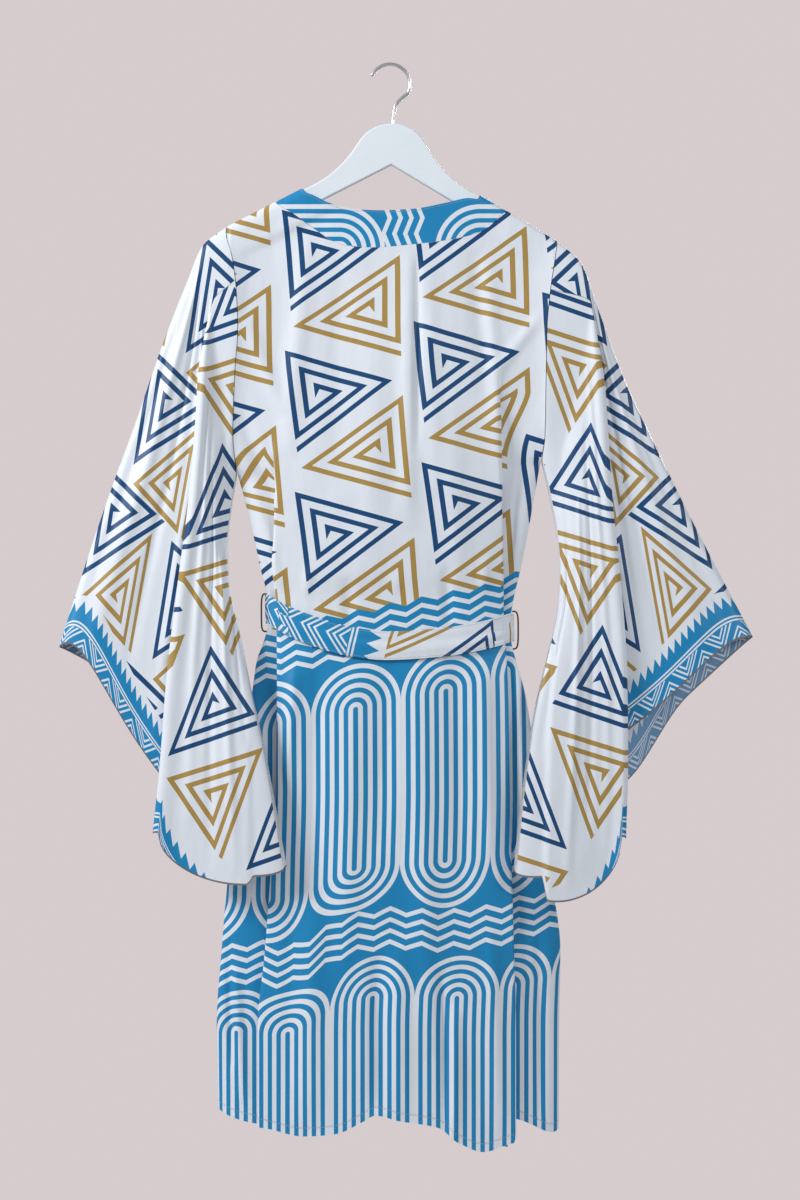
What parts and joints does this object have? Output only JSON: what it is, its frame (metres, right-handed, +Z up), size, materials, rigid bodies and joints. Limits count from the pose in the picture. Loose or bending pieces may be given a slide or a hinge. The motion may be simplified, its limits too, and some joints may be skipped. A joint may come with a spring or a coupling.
{
  "type": "kimono robe on a clothes hanger",
  "caption": "Knee-length wrap robe with wide bell sleeves, a band collar and a tied belt, hanging by its shoulders on a clothes hanger.",
  "frame": {"origin": "the inside top of the hanger's hook, on the wire's lower face, where a rail bears", "axes": "+Z up; the back of the robe faces -Y and its front +Y; the wearer's left is at -X"},
  "size_m": [0.8293, 0.1115, 1.3088],
  "materials": {
    "robe_cloth": "silky woven cloth, printed",
    "band_cloth": "silky woven cloth, printed",
    "thread": "corded thread",
    "hanger_paint": "smooth gloss paint",
    "hook_metal": "polished"
  },
  "bodies": {
    "root": {"back_panel": "robe_cloth", "front_left": "robe_cloth", "front_right": "robe_cloth", "sleeve_left": "robe_cloth", "sleeve_right": "robe_cloth", "neck_band": "band_cloth", "belt": "band_cloth", "belt_knot": "band_cloth", "belt_tail_long": "band_cloth", "belt_tail_short": "band_cloth", "belt_loop_left": "thread", "belt_loop_right": "thread", "hanger_body": "hanger_paint", "hanger_hook": "hook_metal"}
  },
  "joints": []
}
